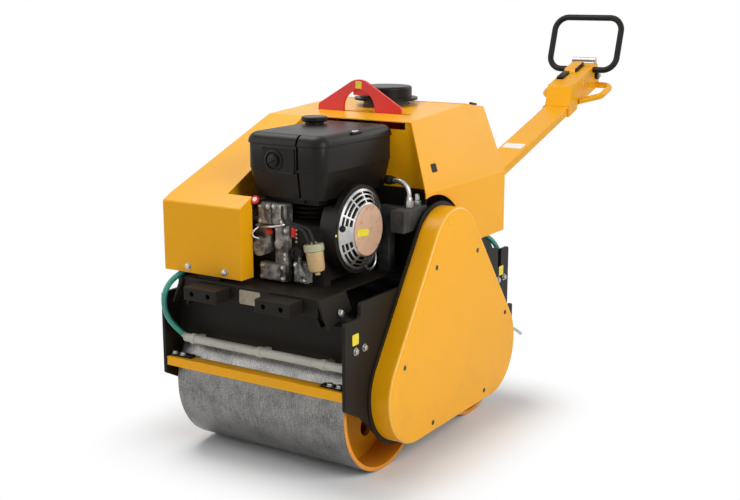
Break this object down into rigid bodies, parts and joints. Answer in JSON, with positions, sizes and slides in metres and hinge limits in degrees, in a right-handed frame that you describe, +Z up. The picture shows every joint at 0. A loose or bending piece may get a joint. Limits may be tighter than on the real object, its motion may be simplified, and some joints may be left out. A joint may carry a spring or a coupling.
{
  "type": "walk-behind roller",
  "caption": "Pedestrian double-drum vibratory roller with open engine, hood, chain cover, lifting frame and a folding handle that steers and drives it.",
  "frame": {"origin": "on the ground under the centre of the machine's overall box", "axes": "+Z up, +Y to the rear along the handle, +X to the machine's left, the side of the drive cover"},
  "size_m": [0.798, 2.713, 1.3608],
  "materials": {
    "black_paint": "satin",
    "yellow_paint": "gloss",
    "red_paint": "gloss",
    "drum_steel": "worn bare steel",
    "cast_grey": "satin",
    "rubber": "matte",
    "grey_plastic": "matte",
    "green_hose": "satin",
    "black_plastic": "satin",
    "tank_plastic": "matte",
    "cast_aluminium": "cast",
    "bright_steel": "bright",
    "tan_plate": "matte",
    "filter_bowl": "gloss"
  },
  "bodies": {
    "chassis": {"side_plate_left": "black_paint", "side_plate_right": "black_paint", "front_panel": "black_paint", "rear_panel": "black_paint", "deck": "black_paint", "front_blocks": "black_paint", "rubber_buffers": "rubber", "buffer_brackets": "black_paint", "buffer_seats": "black_paint", "drum_bearings": "cast_grey", "axle_caps": "cast_grey", "scraper_front": "yellow_paint", "scraper_rear": "yellow_paint", "scraper_clamps": "black_paint", "spray_bar_front": "grey_plastic", "spray_bar_rear": "grey_plastic", "spray_bar_clips": "grey_plastic", "water_hose_front": "green_hose", "water_hose_rear": "green_hose", "water_valves": "black_plastic", "drive_backplate": "black_paint", "drive_cover": "yellow_paint", "hood": "yellow_paint", "hood_firewall": "yellow_paint", "bulkhead": "black_paint", "hood_bay_wall": "yellow_paint", "hood_brackets": "black_paint", "lifting_frame": "red_paint", "water_tank": "tank_plastic", "tank_cap": "black_plastic", "engine_block": "cast_grey", "engine_cowl": "black_plastic", "fuel_cap": "black_plastic", "fan_housing": "black_plastic", "fan_grille": "bright_steel", "fan_plate": "tan_plate", "injection_pump": "cast_aluminium", "oil_filler": "black_plastic", "fuel_filter": "filter_bowl", "fuel_lines": "rubber", "exciter": "cast_grey", "hydraulic_block": "cast_grey", "hydraulic_elbow": "bright_steel", "handle_bracket": "black_paint", "handle_pin": "bright_steel"},
    "front_drum": {"front_drum_shell": "drum_steel", "front_drum_webs": "yellow_paint"},
    "rear_drum": {"rear_drum_shell": "drum_steel", "rear_drum_webs": "yellow_paint"},
    "handle": {"handle_arm": "yellow_paint", "handle_head": "yellow_paint", "head_controls": "yellow_paint", "head_roller": "bright_steel", "travel_bail": "black_plastic", "side_guards": "yellow_paint", "bail_bosses": "black_plastic"}
  },
  "joints": [
    {"name": "front_drum_roll", "type": "hinge", "parent": "chassis", "child": "front_drum", "pos_m": [-0.027, -1.02647, 0.232], "axis": [1, 0, 0], "continuous": true},
    {"name": "rear_drum_roll", "type": "hinge", "parent": "chassis", "child": "rear_drum", "pos_m": [-0.027, -0.43647, 0.232], "axis": [1, 0, 0], "continuous": true},
    {"name": "handle_fold", "type": "hinge", "parent": "chassis", "child": "handle", "pos_m": [-0.027, -0.17347, 0.593], "axis": [1, 0, 0], "range_deg": [0, 68]}
  ],
  "couplings": [
    {"joint": "rear_drum_roll", "follows": "front_drum_roll", "ratio": 1}
  ]
}
